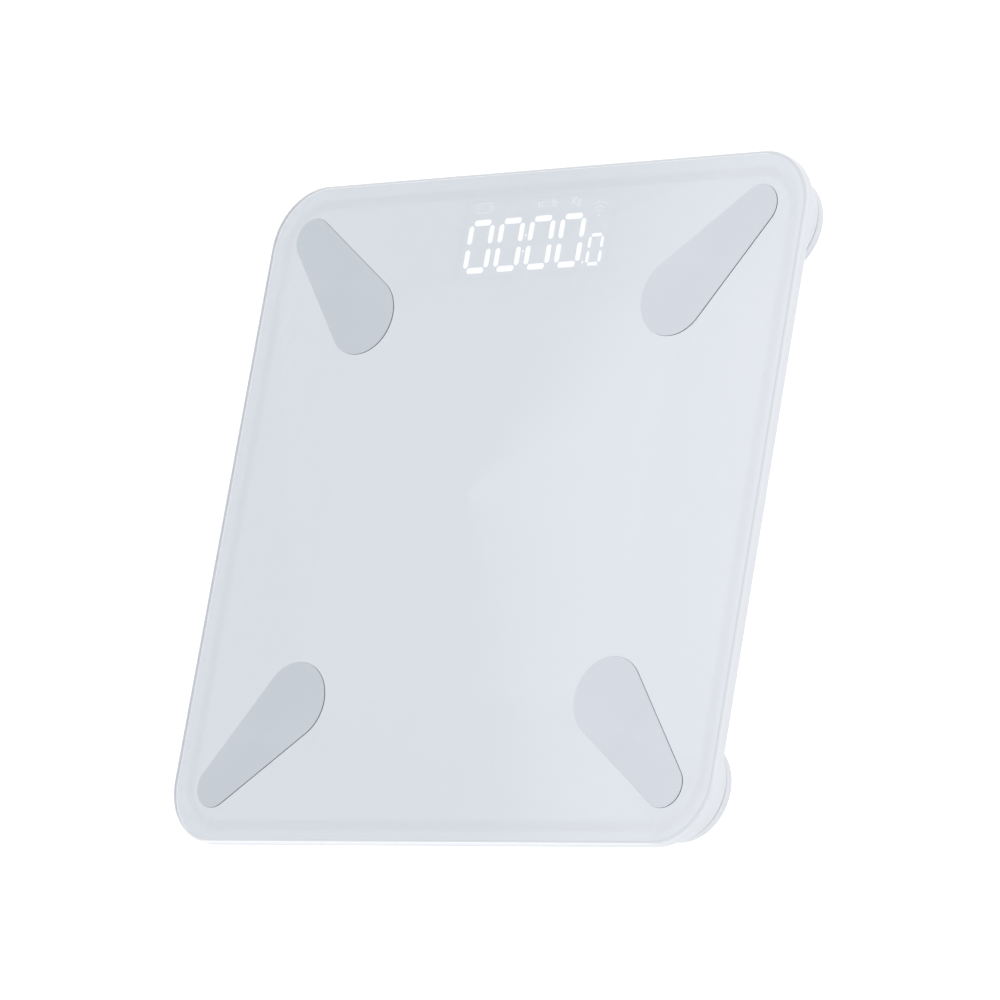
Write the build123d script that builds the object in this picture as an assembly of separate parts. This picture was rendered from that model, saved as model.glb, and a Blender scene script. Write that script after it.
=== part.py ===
from build123d import *
import os
from math import atan2, cos, degrees, radians, sin, sqrt, tan

# Digital bathroom scale: a square toughened-glass platform on a shallow plastic tray, carried by
# four round feet that each press on a load cell.  Millimetres, +Z up, floor at z = 0, origin in
# the middle of the footprint, +Y towards the display, +X to the right of a person standing on it.

# ---- driving sizes: platform
PLATFORM_W = 300.0            # side to side
PLATFORM_D = 300.0            # front to back
GLASS_T = 5.0
GLASS_CORNER_R = 27.5
GLASS_TOP_ROUND = 1.5         # pencil-ground upper edge
GLASS_BOTTOM_ROUND = 0.5
FILM_T = 0.2                  # printed film laminated under the glass
FILM_INSET = 0.6              # glass edge to film edge
TAPE_T = 0.4
TAPE_W = 4.4
TAPE_SETBACK = 0.4            # flange edge to tape edge

# ---- driving sizes: electrodes, teardrops on the diagonals
ELECTRODE_T = 0.45
ELECTRODE_ROUND = 0.2
ELECTRODE_BIG_R = 17.7
ELECTRODE_SMALL_R = 9.7
ELECTRODE_BIG_INSET = 62.6    # glass edge to the centre of the wide end, both ways
ELECTRODE_SMALL_INSET = 25.1  # glass edge to the centre of the narrow end, both ways
STUD_R = 1.5
STUD_HOLE_R = 1.6
STUD_NUT_FLATS = 5.5
STUD_NUT_T = 1.8
STUD_END = 0.5                # stud beyond its nut
TAG_T = 0.5
TAG_R = 3.4
TAG_TAIL = 9.0
TAG_TAIL_W = 2.2

# ---- driving sizes: feet and tray
PAD_PROUD = 1.0               # rubber pad below the rim of its cup
PAD_SEAT = 1.0                # depth of the recess that the pad is glued in
PAD_LIP = 2.7                 # cup rim round the pad
PAD_ROUND = 0.5
PAD_GROOVE_IN = 4.0           # pad edge to its moulded ring groove
PAD_GROOVE_W = 1.5
PAD_GROOVE_DEPTH = 0.5
CUP_R = 22.2
CUP_H = 4.0
CUP_ROUND = 0.8
CUP_TOP_ROUND = 0.6
FOOT_GAP = 1.0                # cup to tray: the load cell's give, and some to spare
FOOT_INSET = 27.9             # glass edge to foot centre, both ways
POST_R = 4.8
POST_CLEAR = 0.6
POST_SLOT_W = 0.8             # slot that lets the post's barb spring
TRAY_FLOOR_T = 1.8
TRAY_WALL = 2.0
TRAY_INNER_H = 7.6
TRAY_DRAFT = 12.0             # degrees
TRAY_ROUND = 1.5
FLANGE_INSET = 5.8            # glass edge to flange edge
FLANGE_W = 3.2                # flange beyond the wall
FLANGE_T = 1.6
POD_OVERHANG = 1.3            # tray's round corner beyond the cup below it
RIB_T = 1.2
RIB_H = 3.0
RIB_WALL_GAP = 4.0            # rib ends to the tray wall
RIB_FIELD_IN = 68.0           # foot centre line to the outer ribs
RIB_BAY_GAP = 8.0             # battery bay to the side ribs
PEG_R = 1.0                   # pegs that hold the leads
PEG_H = 3.0
PEG_BEFORE_TURN = 22.5        # last peg to where its leads turn to the board
PILOT_FLOOR = 0.8             # plastic left under a screw's pilot hole

# ---- driving sizes: load cells
CELL_PLATE = 26.0             # load-cell stamping, square
CELL_PLATE_T = 1.2
CELL_PLATE_R = 2.5
CELL_WINDOW = 18.0
CELL_SEAT_H = 1.2
CELL_SEAT_R = 2.6
BEAM_W = 6.0
TONGUE_HEAD_L = 8.0
TONGUE_HEAD_W = 14.0
NECK_R = 2.4
BARB_R = 2.9
BARB_H = 1.0
GAUGE_AT = 1.7                # window edge to the gauge's middle
GAUGE_L = 5.0
GAUGE_W = 3.6
GAUGE_T = 0.3
RETAINER_T = 1.6
RETAINER_CLEAR = 0.5
RETAINER_OPENING_R = 11.6
RETAINER_GAP = 7.0
RETAINER_SCREW_AT = 16.5
RETAINER_MOUTH = 4.0          # foot centre to the end of the ring's gap

# ---- driving sizes: screws
SCREW_R = 1.1
SCREW_HEAD_R = 2.1
SCREW_HEAD_H = 1.2
SCREW_FIT = 0.05
SCREW_PASS = 0.15             # clearance where a screw only passes through
SCREW_SPARE = 0.6             # screw past the floor it bites in
SCREW_RECESS_L = 2.2
SCREW_RECESS_W = 0.5
SCREW_RECESS_DEPTH = 0.6
BOSS_R = 2.6

# ---- driving sizes: battery bay for three AAA cells, and its door
BATTERY_R = 5.2
BATTERY_LEN = 44.5
BATTERY_NUB_R = 1.9
BATTERY_NUB_L = 1.0
BATTERY_GAP = 0.5             # between neighbouring cells
BATTERY_COUNT = 3
BATTERY_CLEAR = 0.2
BAY_SIDE_CLEAR = 0.65         # between an outer cell's pitch line and the bay side
BAY_Y = 10.0                  # middle of the bay
BAY_WALL = 1.6
BAY_ROOF_T = 0.7
BAY_ROOF_GAP = 0.2            # roof to film
KEEL_T = 1.2                  # ribs that hang between the cells
KEEL_END = 6.0
KEEL_ABOVE_AXIS = 3.2
CONTACT_T = 0.4
CONTACT_H = 6.4
CONTACT_SIDE = 1.2            # cell pitch line to the plate's edge
LUG_W = 2.4
LUG_OUT = 2.4                 # solder lug beyond the bay wall
LUG_ABOVE_AXIS = 1.0
LUG_SLOT = 0.2                # clearance round a lug
SPRING_ROOM = 3.2
SPRING_WIRE_R = 0.25
SPRING_BASE_R = 3.3
SPRING_TIP_R = 2.3
SPRING_TURNS = 3
DOOR_T = 1.4
DOOR_LIP = 2.0                # door overlaps the bay at the sides
DOOR_LATCH_LIP = 7.0          # and at the latch end
DOOR_CLEAR = 0.2
DOOR_HINGE_CLEAR = 0.1
DOOR_FOAM_T = 0.4
DOOR_FOAM_CLEAR = 0.1
DOOR_BEZEL = 2.0              # tray wall round the door
DOOR_CORNER_R = 0.6
BEZEL_CORNER_R = 3.0
BEZEL_ROUND = 0.8
HOOK_W = 3.6
HOOK_T = 1.2
HOOK_REACH = 2.0
HOOK_LIFT = 0.15
HOOK_ROOM = 0.6
HOOK_NECK = 1.4
HOOK_ROOF = 1.0               # plastic over the hooks' pockets
HOOK_SLOT = 0.3
LATCH_W = 16.0
LATCH_L = 10.0
LATCH_SLIT = 1.0
LATCH_NOSE_AT = 2.6           # door edge to the latch's nose
LATCH_NOSE_T = 0.7
LATCH_NOSE_H = 1.2
LATCH_POCKET_T = 1.2
LATCH_POCKET_H = 1.6
GRIP_PITCH = 1.6              # grooves on the latch
GRIP_W = 0.7
GRIP_DEPTH = 0.4
SCOOP_R = 4.0                 # finger scoop beside the latch
SCOOP_BELOW = 3.2

# ---- driving sizes: display and circuit board
DIGIT_H = 24.5
DIGIT_W = 14.3
DIGIT_PITCH = 17.1
DIGITS = 4
SEGMENT_W = 2.7
FLAT_GAP = 0.38               # gap at each end of a level segment, in segment widths
UPRIGHT_GAP = 0.46            # and of an upright one
SMALL_DIGIT_H = 14.7
SMALL_DIGIT_W = 8.4
SMALL_SEGMENT_W = 1.6
DIGIT_ROW_X = -3.6            # middle of the row of four digits
DIGIT_TOP_INSET = 20.9        # rear glass edge to the top of the digits
SMALL_DIGIT_GAP = 7.4         # row of four digits to the small one
COLON_R = 0.5
COLON_ABOVE = 3.75            # dots above and below the digits' middle
COLON_BELOW = 3.45
POINT_R = 0.55
POINT_UP = 1.8                # digits' bottom to the decimal point
POINT_BEFORE = 5.7            # decimal point to the small digit's middle
ICON_ROW_INSET = 15.5         # rear glass edge to the middle of the icons
ICON_CELL_H = 4.8
MODULE_SIDE = 3.9             # digits to the module's edge, at the sides
MODULE_FRONT = 2.7            # in front of the digits
MODULE_REAR = 1.4             # and behind the icons
LENS_T = 0.2
GASKET_W = 1.2
GASKET_T = 0.7
BOARD_T = 1.2
BOARD_Z_ABOVE_FLOOR = 2.8
BOARD_LEFT = 8.0              # board beyond the display module
BOARD_RIGHT = 15.0
BOARD_REAR = 0.3
BOARD_FRONT = 17.0
BOARD_SCREW_EDGE = 4.0
BUTTON_R = 4.0
BUTTON_CLEAR = 0.2
BUTTON_FLANGE_R = 5.6
BUTTON_FLANGE_T = 0.8
BUTTON_RECESS = 0.2
BUTTON_X = 40.0
BUTTON_FROM_EDGE = 9.0        # board edge to the button
BUTTON_DISH_R = 12.0
BUTTON_DISH_DEPTH = 0.4
SWITCH_W = 4.6
SWITCH_H = 1.6
PLUNGER_R = 0.9
PLUNGER_FIT = 0.05
PLUNGER_TRAVEL = 0.35
PLUNGER_BORE = 1.2
PLUNGER_SPARE = 0.15
LEAD_R = 0.5
LEAD_LIFT = 0.1
LEAD_PITCH = 1.6
LEAD_BEND = 18.0              # largest bend radius of an internal lead
LEAD_TURN = 42.0              # board edge to where the front load cells' leads turn
LEAD_LAND = 3.0               # lead end beyond the board's edge, and before it
SOLDER_GAP = 0.05             # left between a lead and the piece it is soldered on
LABEL_W = 62.0
LABEL_D = 34.0
LABEL_T = 0.1
LABEL_Y = -66.0
LABEL_R = 3.0

# ---- heights that follow, from the floor up
CUP_Z = PAD_PROUD
CUP_TOP_Z = CUP_Z + CUP_H
TRAY_Z = CUP_TOP_Z + FOOT_GAP
FLOOR_Z = TRAY_Z + TRAY_FLOOR_T
TRAY_TOP_Z = FLOOR_Z + TRAY_INNER_H
FILM_Z = TRAY_TOP_Z + TAPE_T
GLASS_Z = FILM_Z + FILM_T
GLASS_TOP_Z = GLASS_Z + GLASS_T
CELL_PLATE_Z = FLOOR_Z + CELL_SEAT_H
CELL_TOP_Z = CELL_PLATE_Z + CELL_PLATE_T
RETAINER_TOP_Z = CELL_TOP_Z + RETAINER_T
BOARD_Z = FLOOR_Z + BOARD_Z_ABOVE_FLOOR
BOARD_TOP_Z = BOARD_Z + BOARD_T
ROOF_TOP_Z = FILM_Z - BAY_ROOF_GAP
ROOF_Z = ROOF_TOP_Z - BAY_ROOF_T
BATTERY_Z = ROOF_Z - BATTERY_CLEAR - BATTERY_R
DOOR_TOP_Z = BATTERY_Z - BATTERY_R - DOOR_FOAM_CLEAR - DOOR_FOAM_T
DOOR_Z = DOOR_TOP_Z - DOOR_T
LUG_Z = BATTERY_Z + LUG_ABOVE_AXIS
HOOK_Z = DOOR_TOP_Z + HOOK_LIFT

# ---- places that follow
HALF_W = PLATFORM_W / 2
HALF_D = PLATFORM_D / 2
FOOT_X = HALF_W - FOOT_INSET
FOOT_Y = HALF_D - FOOT_INSET
PAD_R = CUP_R - PAD_LIP
POD_R = CUP_R + POD_OVERHANG
FLANGE_R = FOOT_INSET - FLANGE_INSET
BATTERY_PITCH = 2 * BATTERY_R + BATTERY_GAP
BAY_W = BATTERY_COUNT * BATTERY_PITCH + 2 * BAY_SIDE_CLEAR
BAY_L = BATTERY_LEN + SPRING_ROOM + 2 * CONTACT_T
BAY_FRONT = BAY_Y - BAY_L / 2
BAY_REAR = BAY_Y + BAY_L / 2
DOOR_FRONT = BAY_FRONT - DOOR_LATCH_LIP
HINGE_Y = BAY_REAR
DIGIT_Y = HALF_D - DIGIT_TOP_INSET - DIGIT_H / 2
DIGIT_ROW_HALF = (DIGITS - 1) / 2 * DIGIT_PITCH + DIGIT_W / 2
SMALL_DIGIT_X = DIGIT_ROW_X + DIGIT_ROW_HALF + SMALL_DIGIT_GAP
ICON_Y = HALF_D - ICON_ROW_INSET
MODULE_X0 = DIGIT_ROW_X - DIGIT_ROW_HALF - MODULE_SIDE
MODULE_X1 = SMALL_DIGIT_X + SMALL_DIGIT_W / 2 + MODULE_SIDE
MODULE_Y0 = DIGIT_Y - DIGIT_H / 2 - MODULE_FRONT
MODULE_Y1 = ICON_Y + ICON_CELL_H / 2 + MODULE_REAR
MODULE_X = (MODULE_X0 + MODULE_X1) / 2
MODULE_Y = (MODULE_Y0 + MODULE_Y1) / 2
MODULE_W = MODULE_X1 - MODULE_X0
MODULE_D = MODULE_Y1 - MODULE_Y0
MODULE_Z = BOARD_TOP_Z
MODULE_TOP_Z = FILM_Z - GASKET_T
BOARD_X0 = MODULE_X0 - BOARD_LEFT
BOARD_X1 = MODULE_X1 + BOARD_RIGHT
BOARD_Y0 = MODULE_Y0 - BOARD_FRONT
BOARD_Y1 = MODULE_Y1 - BOARD_REAR
BUTTON_Y = BOARD_Y0 + BUTTON_FROM_EDGE
LEAD_TURN_Y = BOARD_Y0 - LEAD_TURN
LEAD_Z = FLOOR_Z + LEAD_R + LEAD_LIFT
LEAD_BOARD_Z = BOARD_TOP_Z + LEAD_R + SOLDER_GAP

CORNERS = {
    "front_left": (-1, -1),
    "front_right": (1, -1),
    "rear_left": (-1, 1),
    "rear_right": (1, 1),
}
EPS = 0.01


# ---- helpers
def slab(width, depth, radius, z0, z1, x=0.0, y=0.0):
    """Upright block with rounded corners, from z0 to z1."""
    return Pos(x, y, z0) * extrude(RectangleRounded(width, depth, radius), z1 - z0)


def block(width, depth, z0, z1, x=0.0, y=0.0):
    """Square-cornered block, from z0 to z1."""
    return Pos(x, y, (z0 + z1) / 2) * Box(width, depth, z1 - z0)


def rod(radius, z0, z1, x=0.0, y=0.0):
    """Upright cylinder, from z0 to z1."""
    return Pos(x, y, (z0 + z1) / 2) * Cylinder(radius, z1 - z0)


def group(solids):
    """Several separate solids kept as one node."""
    return Compound(children=[piece for solid in solids for piece in solid.solids()])


def foot_place(corner):
    """Place of a foot, turned so that its local +X points out along the diagonal."""
    sx, sy = CORNERS[corner]
    return Pos(sx * FOOT_X, sy * FOOT_Y, 0) * Rot(0, 0, degrees(atan2(sy, sx)))


def edges_at(solid, z):
    """Edges that lie flat at one height."""
    return [edge for edge in solid.edges()
            if abs(edge.bounding_box().min.Z - z) < EPS and abs(edge.bounding_box().max.Z - z) < EPS]


# ---- platform
def electrode_outline():
    """Teardrop about the wide end's centre, narrow end towards +X."""
    spacing = (ELECTRODE_BIG_INSET - ELECTRODE_SMALL_INSET) * sqrt(2)
    circles = Circle(ELECTRODE_BIG_R) + Pos(spacing, 0) * Circle(ELECTRODE_SMALL_R)
    lean = (ELECTRODE_BIG_R - ELECTRODE_SMALL_R) / spacing
    rise = sqrt(1 - lean * lean)
    flank = [
        (ELECTRODE_BIG_R * lean, ELECTRODE_BIG_R * rise),
        (spacing + ELECTRODE_SMALL_R * lean, ELECTRODE_SMALL_R * rise),
        (spacing + ELECTRODE_SMALL_R * lean, -ELECTRODE_SMALL_R * rise),
        (ELECTRODE_BIG_R * lean, -ELECTRODE_BIG_R * rise),
    ]
    return circles + make_face(Polyline(*flank, close=True))


def electrode_place(corner):
    """Place of an electrode's wide end, turned with its narrow end to the glass corner."""
    sx, sy = CORNERS[corner]
    x = sx * (HALF_W - ELECTRODE_BIG_INSET)
    y = sy * (HALF_D - ELECTRODE_BIG_INSET)
    return Pos(x, y, 0) * Rot(0, 0, degrees(atan2(sy, sx)))


def glass_platform():
    glass = slab(PLATFORM_W, PLATFORM_D, GLASS_CORNER_R, GLASS_Z, GLASS_TOP_Z)
    glass = fillet(edges_at(glass, GLASS_TOP_Z), GLASS_TOP_ROUND)
    glass = fillet(edges_at(glass, GLASS_Z), GLASS_BOTTOM_ROUND)
    for corner in CORNERS:
        glass -= electrode_place(corner) * rod(STUD_HOLE_R, GLASS_Z - 1, GLASS_TOP_Z + 1)
    return glass


def backing_film():
    width = PLATFORM_W - 2 * FILM_INSET
    depth = PLATFORM_D - 2 * FILM_INSET
    film = slab(width, depth, GLASS_CORNER_R - FILM_INSET, FILM_Z, GLASS_Z)
    for corner in CORNERS:
        film -= electrode_place(corner) * rod(STUD_HOLE_R, FILM_Z - 1, GLASS_Z + 1)
    return film


def platform_tape():
    """Double-sided foam tape between the tray's flange and the film."""
    inset = FLANGE_INSET + TAPE_SETBACK
    radius = FLANGE_R - TAPE_SETBACK
    ring = slab(PLATFORM_W - 2 * inset, PLATFORM_D - 2 * inset, radius, TRAY_TOP_Z, FILM_Z)
    inner = inset + TAPE_W
    hole = slab(PLATFORM_W - 2 * inner, PLATFORM_D - 2 * inner, radius - TAPE_W,
                TRAY_TOP_Z - 1, FILM_Z + 1)
    return ring - hole


def electrode(corner):
    """Brushed steel plate with the stud that is welded under its wide end."""
    plate = Pos(0, 0, GLASS_TOP_Z) * extrude(electrode_outline(), ELECTRODE_T)
    plate = fillet(edges_at(plate, GLASS_TOP_Z + ELECTRODE_T), ELECTRODE_ROUND)
    nut_end = FILM_Z - TAG_T - STUD_NUT_T
    return electrode_place(corner) * (plate + rod(STUD_R, nut_end - STUD_END, GLASS_TOP_Z + EPS))


def electrode_tags():
    """Ring tags between the film and the nuts, tails towards the middle line."""
    tags = []
    for corner, (sx, sy) in CORNERS.items():
        x = sx * (HALF_W - ELECTRODE_BIG_INSET)
        y = sy * (HALF_D - ELECTRODE_BIG_INSET)
        tag = rod(TAG_R, FILM_Z - TAG_T, FILM_Z, x, y)
        tag += block(TAG_TAIL, TAG_TAIL_W, FILM_Z - TAG_T, FILM_Z, x - sx * TAG_TAIL / 2, y)
        tags.append(tag - rod(STUD_R + SCREW_FIT, FILM_Z - 2, FILM_Z + 1, x, y))
    return group(tags)


def electrode_nuts():
    nuts = []
    z1 = FILM_Z - TAG_T
    for corner in CORNERS:
        hexagon = RegularPolygon(STUD_NUT_FLATS / 2, 6, major_radius=False)
        nut = Pos(0, 0, z1 - STUD_NUT_T) * extrude(hexagon, STUD_NUT_T)
        nuts.append(electrode_place(corner) * (nut - rod(STUD_R + SCREW_FIT, z1 - 3, z1 + 1)))
    return group(nuts)


# ---- base tray
def tray_shell(inset, z0, z1):
    """Tapered block inside the wall line: inset is measured from the wall's outside."""
    def outline(z):
        shrink = inset + (TRAY_TOP_Z - FLANGE_T - z) * tan(radians(TRAY_DRAFT))
        edge = FLANGE_INSET + FLANGE_W + shrink
        radius = FLANGE_R - FLANGE_W - shrink
        return Pos(0, 0, z) * RectangleRounded(PLATFORM_W - 2 * edge, PLATFORM_D - 2 * edge, radius)
    return loft([outline(z0), outline(z1)])


def tray_pods(radius, z0, z1):
    return [foot_place(corner) * rod(radius, z0, z1) for corner in CORNERS]


def tray_hull():
    """Tray without its inner features: drafted walls, flange, round corners over the feet."""
    walls = tray_shell(0, TRAY_Z, TRAY_TOP_Z - FLANGE_T)
    walls = fillet(edges_at(walls, TRAY_Z), TRAY_ROUND)
    flange_w = PLATFORM_W - 2 * FLANGE_INSET
    flange_d = PLATFORM_D - 2 * FLANGE_INSET
    hull = walls + slab(flange_w, flange_d, FLANGE_R, TRAY_TOP_Z - FLANGE_T, TRAY_TOP_Z)
    for pod in tray_pods(POD_R, TRAY_Z, TRAY_TOP_Z - FLANGE_T / 2):
        hull += fillet(edges_at(pod, TRAY_Z), TRAY_ROUND)
    hollow = tray_shell(TRAY_WALL, FLOOR_Z, TRAY_TOP_Z + 1)
    for pod in tray_pods(POD_R - TRAY_WALL, FLOOR_Z, TRAY_TOP_Z + 1):
        hollow += pod
    return hull - hollow


def cell_seats(corner):
    """Seats under the load-cell plate, and the bosses for its retainer."""
    reach = CELL_PLATE / 2 - CELL_SEAT_R
    seats = []
    for sx in (-1, 1):
        for sy in (-1, 1):
            seats.append(rod(CELL_SEAT_R, FLOOR_Z - EPS, CELL_PLATE_Z, sx * reach, sy * reach))
    for side in (-1, 1):
        seats.append(rod(BOSS_R, FLOOR_Z - EPS, CELL_TOP_Z, 0, side * RETAINER_SCREW_AT))
    return [foot_place(corner) * seat for seat in seats]


def cell_holes(corner):
    """Hole for the foot's post, and pilot holes for the retainer screws."""
    holes = [rod(POST_R + POST_CLEAR, TRAY_Z - 1, FLOOR_Z + 1)]
    for side in (-1, 1):
        pilot = rod(SCREW_R + SCREW_FIT, TRAY_Z + PILOT_FLOOR, CELL_TOP_Z + 1, 0, side * RETAINER_SCREW_AT)
        holes.append(pilot)
    return [foot_place(corner) * hole for hole in holes]


def bay_solids():
    """Battery box that hangs below the floor, with the bezel for its door."""
    bezel_w = BAY_W + 2 * (DOOR_LIP + DOOR_CLEAR + DOOR_BEZEL)
    bezel_y0 = DOOR_FRONT - DOOR_CLEAR - DOOR_BEZEL
    bezel_y1 = HINGE_Y + HOOK_REACH + HOOK_ROOM + DOOR_BEZEL
    bezel = slab(bezel_w, bezel_y1 - bezel_y0, BEZEL_CORNER_R, DOOR_Z, FLOOR_Z, 0, (bezel_y0 + bezel_y1) / 2)
    bezel = fillet(edges_at(bezel, DOOR_Z), BEZEL_ROUND)
    box = block(BAY_W + 2 * BAY_WALL, BAY_L + 2 * BAY_WALL, DOOR_TOP_Z, ROOF_TOP_Z, 0, BAY_Y)
    hood_w = BATTERY_PITCH + HOOK_W + 2 * KEEL_T
    hood_d = HOOK_REACH + HOOK_ROOM + DOOR_BEZEL
    hood_top = HOOK_Z + HOOK_T + HOOK_REACH + HOOK_ROOF
    hook_hood = block(hood_w, hood_d, DOOR_TOP_Z, hood_top, 0, HINGE_Y + hood_d / 2)
    return [bezel, box, hook_hood]


def bay_hollows():
    """Room for the cells, the door, its hooks and its latch nose."""
    cells = block(BAY_W, BAY_L, DOOR_Z - 1, ROOF_Z, 0, BAY_Y)
    door_w = BAY_W + 2 * (DOOR_LIP + DOOR_CLEAR)
    door_y0 = DOOR_FRONT - DOOR_CLEAR
    door_y1 = HINGE_Y + DOOR_HINGE_CLEAR
    door = block(door_w, door_y1 - door_y0, DOOR_Z - 1, DOOR_TOP_Z, 0, (door_y0 + door_y1) / 2)
    hollows = [cells, door]
    pocket_top = HOOK_Z + HOOK_T + HOOK_REACH
    pocket_d = HOOK_REACH + HOOK_ROOM
    for x in hook_places():
        hollows.append(block(HOOK_W + 2 * HOOK_SLOT, pocket_d + EPS, DOOR_TOP_Z, pocket_top, x,
                             HINGE_Y + pocket_d / 2))
    hollows.append(block(LATCH_W - 2 * LATCH_SLIT, LATCH_POCKET_T, DOOR_TOP_Z - EPS,
                         DOOR_TOP_Z + LATCH_POCKET_H, 0, DOOR_FRONT + LATCH_NOSE_AT))
    scoop = Pos(0, door_y0 - DOOR_CLEAR, DOOR_Z - SCOOP_BELOW) * Rot(0, 90, 0) * Cylinder(SCOOP_R, LATCH_W)
    hollows.append(scoop)
    half_lug = CONTACT_T / 2 + LUG_SLOT
    for side, x in lug_places():
        y = BAY_FRONT - BAY_WALL / 2 if side < 0 else BAY_REAR + BAY_WALL / 2
        hollows.append(block(LUG_W + 2 * LUG_SLOT, BAY_WALL + 1, LUG_Z - half_lug, LUG_Z + half_lug, x, y))
    return hollows


def bay_keels():
    """Ribs that hang from the bay's roof between the cells."""
    keels = []
    for index in range(BATTERY_COUNT - 1):
        x = battery_x(index) + BATTERY_PITCH / 2
        keels.append(block(KEEL_T, BAY_L - 2 * KEEL_END, BATTERY_Z + KEEL_ABOVE_AXIS, ROOF_Z + EPS, x, BAY_Y))
    return keels


def board_screw_places():
    return [(x, y) for x in (BOARD_X0 + BOARD_SCREW_EDGE, BOARD_X1 - BOARD_SCREW_EDGE)
            for y in (BOARD_Y0 + BOARD_SCREW_EDGE, BOARD_Y1 - BOARD_SCREW_EDGE)]


def tray_ribs():
    """Low stiffening ribs on the floor, in front of and beside the battery bay."""
    wall = FLANGE_INSET + FLANGE_W + TRAY_WALL + RIB_WALL_GAP
    front = -HALF_D + wall
    bay_front = BAY_FRONT - BAY_WALL - DOOR_LATCH_LIP
    reach = FOOT_X - RIB_FIELD_IN
    z0 = FLOOR_Z - EPS
    z1 = FLOOR_Z + RIB_H
    ribs = []
    for x in (-reach, -reach / 3, reach / 3, reach):
        ribs.append(block(RIB_T, bay_front - front, z0, z1, x, (bay_front + front) / 2))
    for y in (bay_front, (bay_front + front) / 2):
        ribs.append(block(2 * reach + RIB_T, RIB_T, z0, z1, 0, y))
    side_start = BAY_W / 2 + DOOR_LIP + DOOR_BEZEL
    for sx in (-1, 1):
        for y in (BAY_Y - BAY_L / 4, BAY_Y + BAY_L / 4):
            width = reach - side_start - RIB_BAY_GAP
            x = sx * (side_start + RIB_BAY_GAP + width / 2)
            ribs.append(block(width, RIB_T, z0, z1, x, y))
    return ribs


def lead_pegs():
    """Pegs on the floor that hold the leads beside the walls."""
    pegs = []
    for sx in (-1, 1):
        for y in (-FOOT_Y / 3, LEAD_TURN_Y - PEG_BEFORE_TURN):
            for side in (-1, 1):
                three_leads = sx * load_lead_lane() + side * 2 * LEAD_PITCH
                one_lead = sx * electrode_lead_lane() + side * (PEG_R + 2 * LEAD_R)
                pegs.append(rod(PEG_R, FLOOR_Z - EPS, FLOOR_Z + PEG_H, three_leads, y))
                pegs.append(rod(PEG_R, FLOOR_Z - EPS, FLOOR_Z + PEG_H, one_lead, y))
    return pegs


def base_tray():
    tray = tray_hull()
    for corner in CORNERS:
        for seat in cell_seats(corner):
            tray += seat
    for x, y in board_screw_places():
        tray += rod(BOSS_R, FLOOR_Z - EPS, BOARD_Z, x, y)
    for piece in bay_solids() + tray_ribs() + lead_pegs():
        tray += piece
    for hollow in bay_hollows():
        tray -= hollow
    for keel in bay_keels():
        tray += keel
    for corner in CORNERS:
        for hole in cell_holes(corner):
            tray -= hole
    for x, y in board_screw_places():
        tray -= rod(SCREW_R + SCREW_FIT, TRAY_Z + PILOT_FLOOR, BOARD_Z + 1, x, y)
    tray -= rod(BUTTON_R + BUTTON_CLEAR, TRAY_Z - 1, FLOOR_Z + 1, BUTTON_X, BUTTON_Y)
    label_room = slab(LABEL_W + 1, LABEL_D + 1, LABEL_R + 0.5, TRAY_Z - 1, TRAY_Z + 2 * LABEL_T, 0, LABEL_Y)
    return tray - label_room


def blank_label():
    z1 = TRAY_Z + 2 * LABEL_T
    return slab(LABEL_W, LABEL_D, LABEL_R, z1 - LABEL_T, z1, 0, LABEL_Y)


# ---- feet and load cells
def foot_cup():
    """Round foot with the post that clips into the load cell's tongue."""
    cup = rod(CUP_R, CUP_Z, CUP_TOP_Z)
    cup = fillet(edges_at(cup, CUP_Z), CUP_ROUND)
    cup = fillet(edges_at(cup, CUP_TOP_Z), CUP_TOP_ROUND)
    cup -= rod(PAD_R, CUP_Z - 1, CUP_Z + PAD_SEAT)
    cup += rod(POST_R, CUP_TOP_Z - EPS, CELL_PLATE_Z)
    cup += rod(NECK_R, CELL_PLATE_Z - EPS, CELL_TOP_Z + EPS)
    barb = rod(BARB_R, CELL_TOP_Z, CELL_TOP_Z + BARB_H)
    cup += chamfer(edges_at(barb, CELL_TOP_Z + BARB_H), BARB_H / 2)
    return cup - block(POST_SLOT_W, 2 * BARB_R + 1, CELL_PLATE_Z, CELL_TOP_Z + BARB_H + 1)


def foot_pad():
    """Rubber disc with a moulded ring groove."""
    pad = rod(PAD_R, 0, CUP_Z + PAD_SEAT)
    pad = fillet(edges_at(pad, 0), PAD_ROUND)
    groove_r = PAD_R - PAD_GROOVE_IN
    groove = rod(groove_r, -1, PAD_GROOVE_DEPTH) - rod(groove_r - PAD_GROOVE_W, -1, PAD_GROOVE_DEPTH)
    return pad - groove


def load_cell_plate():
    """Stamped spring: square frame, bending beam and the T-shaped tongue that the foot's post clips into."""
    frame = slab(CELL_PLATE, CELL_PLATE, CELL_PLATE_R, CELL_PLATE_Z, CELL_TOP_Z)
    frame -= slab(CELL_WINDOW, CELL_WINDOW, 1.0, CELL_PLATE_Z - 1, CELL_TOP_Z + 1)
    head = slab(TONGUE_HEAD_L, TONGUE_HEAD_W, 1.0, CELL_PLATE_Z, CELL_TOP_Z)
    beam_l = CELL_WINDOW / 2 + EPS
    beam = block(beam_l, BEAM_W, CELL_PLATE_Z, CELL_TOP_Z, -beam_l / 2)
    return frame + head + beam - rod(NECK_R, CELL_PLATE_Z - 1, CELL_TOP_Z + 1)


def strain_gauge():
    x = -CELL_WINDOW / 2 + GAUGE_AT - GAUGE_L / 4
    return slab(GAUGE_L, GAUGE_W, 0.5, CELL_TOP_Z, CELL_TOP_Z + GAUGE_T, x)


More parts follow.
